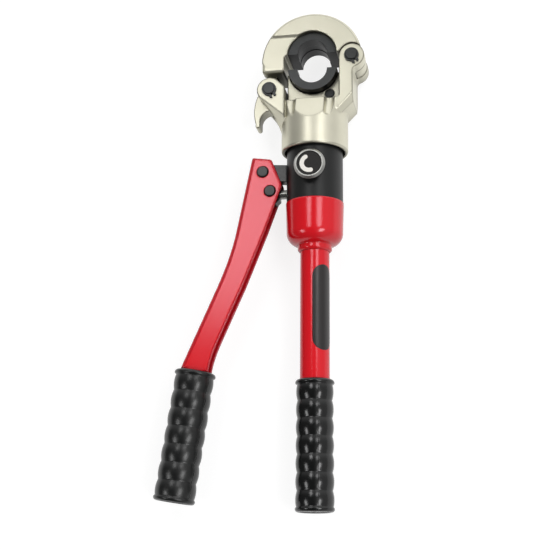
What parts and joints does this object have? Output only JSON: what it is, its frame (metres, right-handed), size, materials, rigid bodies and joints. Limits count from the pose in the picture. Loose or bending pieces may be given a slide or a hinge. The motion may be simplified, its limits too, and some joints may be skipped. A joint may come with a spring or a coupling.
{
  "type": "hydraulic crimping tool",
  "caption": "Hand-pumped hydraulic crimping tool: hinged latch head with a die pair, swivelling on a pump body with a release knob, a pump lever and a tubular handle with rubber grips.",
  "frame": {"origin": "on the crimping axis, at the parting face of the upper die, halfway along the die", "axes": "+X to the right of the front view, +Y along the tool from the handle to the head, +Z out of the front along the crimping bore"},
  "size_m": [0.181, 0.4306, 0.062],
  "materials": {
    "nickel_plate": "satin nickel plate on a forging",
    "black_oxide": "black oxide",
    "spring_steel": "drawn wire",
    "bright_steel": "ground and turned",
    "black_paint": "satin black paint",
    "knob_face": "dark grained face",
    "brass": "turned",
    "seal_rubber": "moulded",
    "grip_rubber": "glossy moulded soft PVC with lobes",
    "red_paint": "gloss red paint"
  },
  "bodies": {
    "pump": {"pump_body": "black_paint", "swivel_ring": "bright_steel", "swivel_o_ring": "seal_rubber", "plunger_gland": "brass", "plunger_seal": "seal_rubber", "suction_spring": "spring_steel", "suction_sleeve": "brass", "delivery_spring": "spring_steel", "delivery_sleeve": "brass", "relief_spring": "spring_steel", "relief_screw": "black_paint", "reservoir_collar": "red_paint", "collar_seal": "seal_rubber", "main_tube": "red_paint", "oil_bladder": "seal_rubber", "bladder_clamp": "bright_steel", "tube_end_plug": "bright_steel", "main_grip": "grip_rubber"},
    "head": {"head_fork": "nickel_plate", "yoke_pin": "black_oxide", "yoke_pin_clips": "black_oxide", "latch_pin": "black_oxide", "latch_pin_clips": "black_oxide", "latch_spring": "spring_steel", "ram_return_spring": "spring_steel"},
    "yoke": {"yoke": "nickel_plate", "upper_die": "black_oxide", "upper_die_detent": "bright_steel"},
    "latch": {"latch": "nickel_plate"},
    "ram": {"ram_piston": "bright_steel", "ram_seal": "seal_rubber", "die_holder": "nickel_plate", "die_holder_screw": "bright_steel", "lower_die": "black_oxide", "die_release_spring": "spring_steel", "die_pin_plug": "bright_steel"},
    "die_pin": {"die_release_pin": "black_oxide"},
    "lever": {"lever": "red_paint", "lever_pivot_pin": "black_oxide", "drive_pin": "black_oxide", "lever_grip": "grip_rubber"},
    "plunger": {"plunger": "bright_steel"},
    "release": {"release_spindle": "bright_steel", "spindle_seal": "seal_rubber", "release_knob": "knob_face", "release_knob_bezel": "bright_steel"},
    "suction_ball": {"suction_ball": "bright_steel"},
    "delivery_ball": {"delivery_ball": "bright_steel"},
    "relief_poppet": {"relief_poppet": "bright_steel"}
  },
  "joints": [
    {"name": "head_swivel", "type": "hinge", "parent": "pump", "child": "head", "pos_m": [0, -0.0754, 0], "axis": [0, 1, 0], "continuous": true},
    {"name": "yoke_swing", "type": "hinge", "parent": "head", "child": "yoke", "pos_m": [0.035, -0.0053, 0], "axis": [0, 0, 1], "range_deg": [-105, 0]},
    {"name": "latch_pivot", "type": "hinge", "parent": "head", "child": "latch", "pos_m": [-0.0373, -0.0325, 0], "axis": [0, 0, 1], "range_deg": [0, 15], "stiffness_Nm_per_rad": 0.3, "springref_deg": -11.46, "deforming": ["latch_spring"]},
    {"name": "ram_stroke", "type": "slide", "parent": "head", "child": "ram", "axis": [0, 1, 0], "range_m": [0, 0.0135], "stiffness_N_per_m": 2000, "springref_m": -0.01, "deforming": ["ram_return_spring"]},
    {"name": "die_pin_press", "type": "slide", "parent": "ram", "child": "die_pin", "axis": [0, 0, -1], "range_m": [0, 0.003], "stiffness_N_per_m": 300, "springref_m": -0.002, "deforming": ["die_release_spring"]},
    {"name": "lever_pump", "type": "hinge", "parent": "pump", "child": "lever", "pos_m": [-0.0447, -0.1037, 0], "axis": [0, 0, 1], "range_deg": [-22, 13]},
    {"name": "plunger_stroke", "type": "slide", "parent": "pump", "child": "plunger", "axis": [1, 0, 0], "range_m": [-0.0075, 0.0045]},
    {"name": "release_turn", "type": "hinge", "parent": "pump", "child": "release", "pos_m": [0, -0.1068, 0], "axis": [0, 0, 1], "range_deg": [0, 90]},
    {"name": "suction_lift", "type": "slide", "parent": "pump", "child": "suction_ball", "axis": [0, 1, 0], "range_m": [0, 0.0008], "stiffness_N_per_m": 200, "springref_m": -0.001, "deforming": ["suction_spring"]},
    {"name": "delivery_lift", "type": "slide", "parent": "pump", "child": "delivery_ball", "axis": [0, 1, 0], "range_m": [0, 0.0008], "stiffness_N_per_m": 200, "springref_m": -0.001, "deforming": ["delivery_spring"]},
    {"name": "relief_lift", "type": "slide", "parent": "pump", "child": "relief_poppet", "axis": [0, 0, -1], "range_m": [0, 0.0008], "stiffness_N_per_m": 600, "springref_m": -0.001, "deforming": ["relief_spring"]}
  ],
  "couplings": [
    {"joint": "plunger_stroke", "follows": "lever_pump", "m_per_rad": 0.0178}
  ]
}
